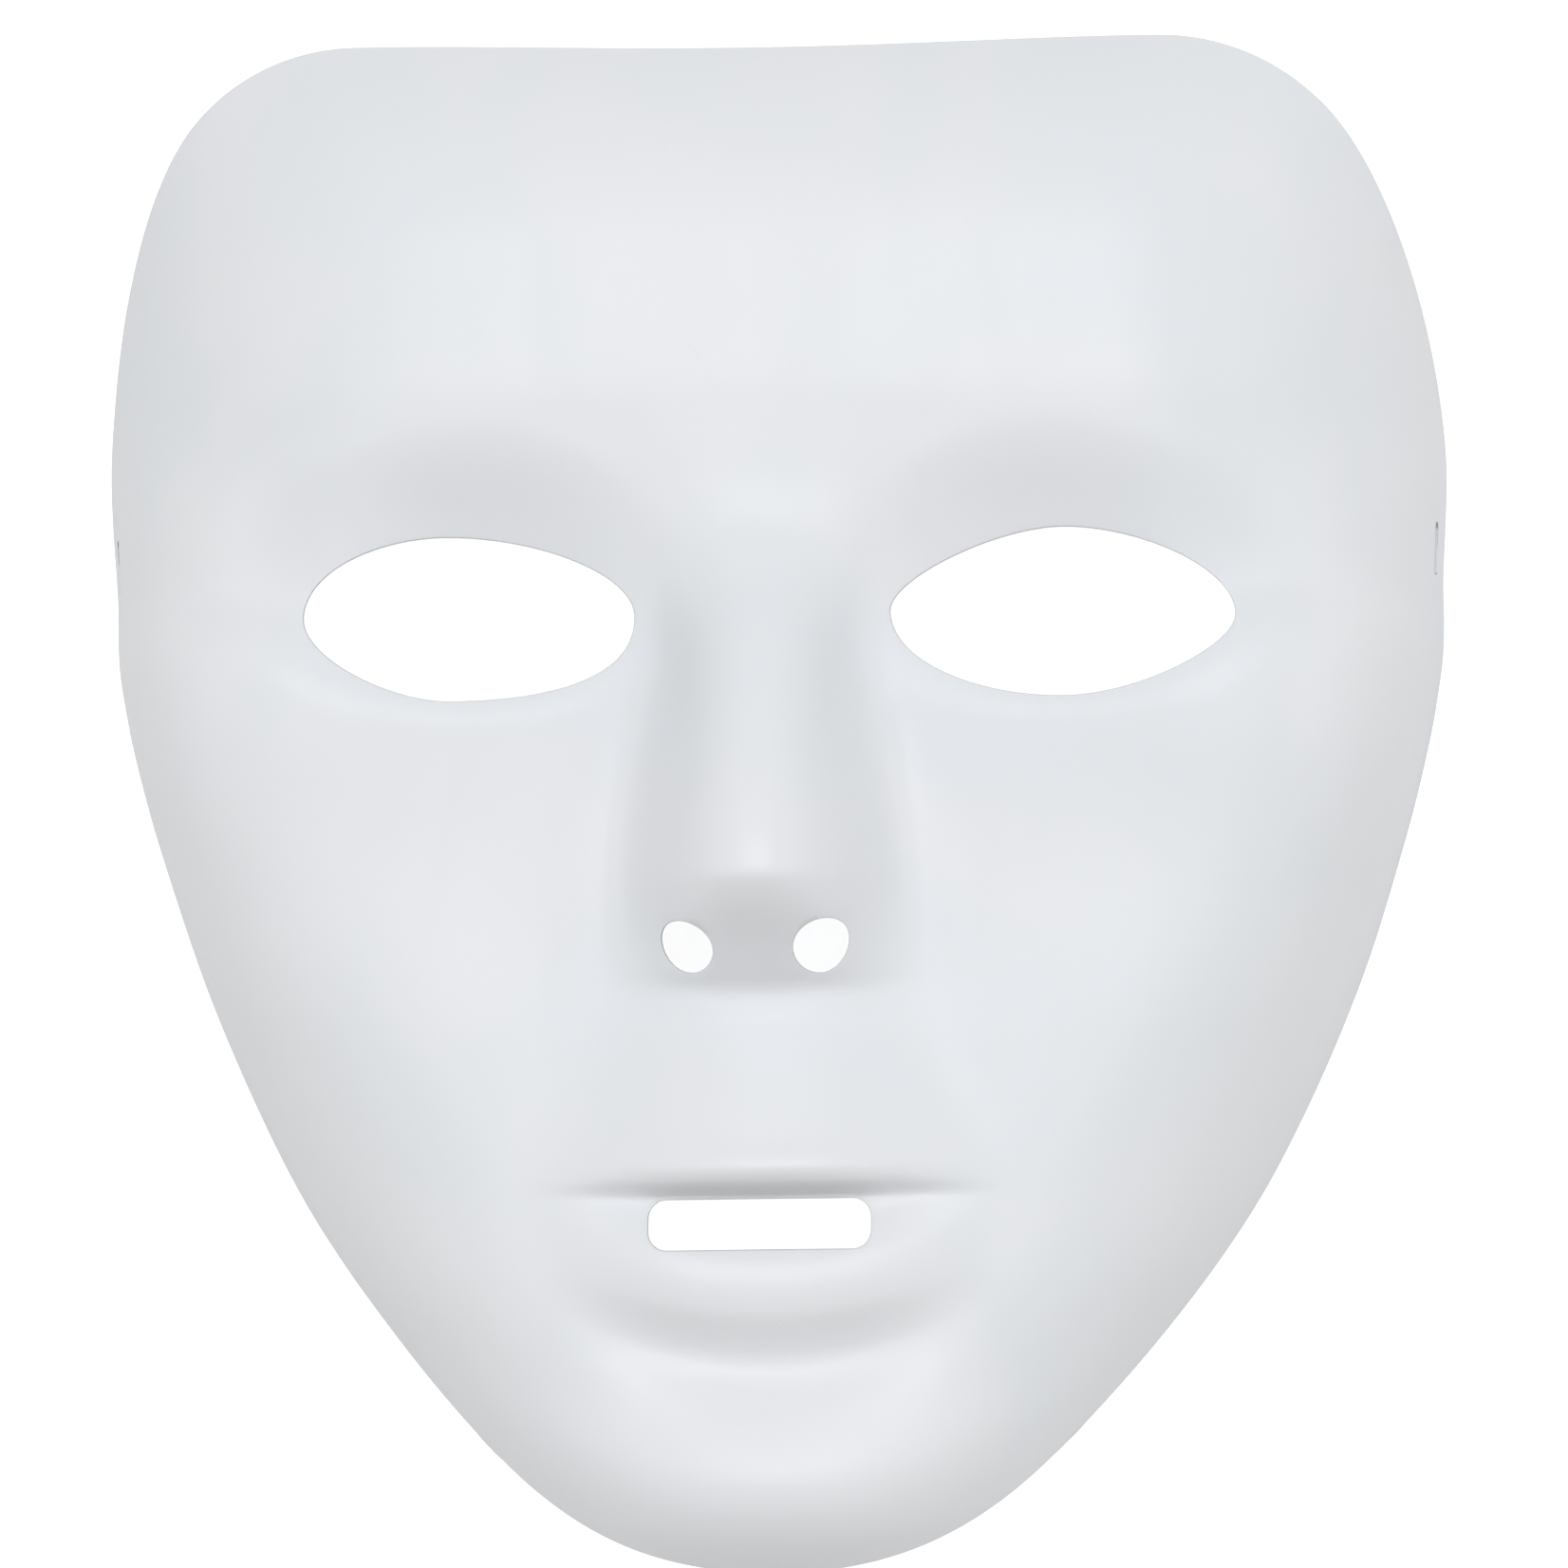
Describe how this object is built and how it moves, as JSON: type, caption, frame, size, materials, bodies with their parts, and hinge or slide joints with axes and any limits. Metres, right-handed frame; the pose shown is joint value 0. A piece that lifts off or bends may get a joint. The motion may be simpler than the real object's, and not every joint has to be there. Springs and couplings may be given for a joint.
{
  "type": "full face mask",
  "caption": "Plain white moulded plastic full face mask with eye holes, nostril holes, a mouth slot and side strap slots, lying face up.",
  "frame": {"origin": "on the surface that the mask lies on, below the middle of its box", "axes": "+X to the right of someone looking at the face, +Y towards the forehead, +Z out of the face and up as it lies"},
  "size_m": [0.1762, 0.1978, 0.0788],
  "materials": {
    "white_plastic": "satin"
  },
  "bodies": {
    "root": {"mask": "white_plastic"}
  },
  "joints": []
}
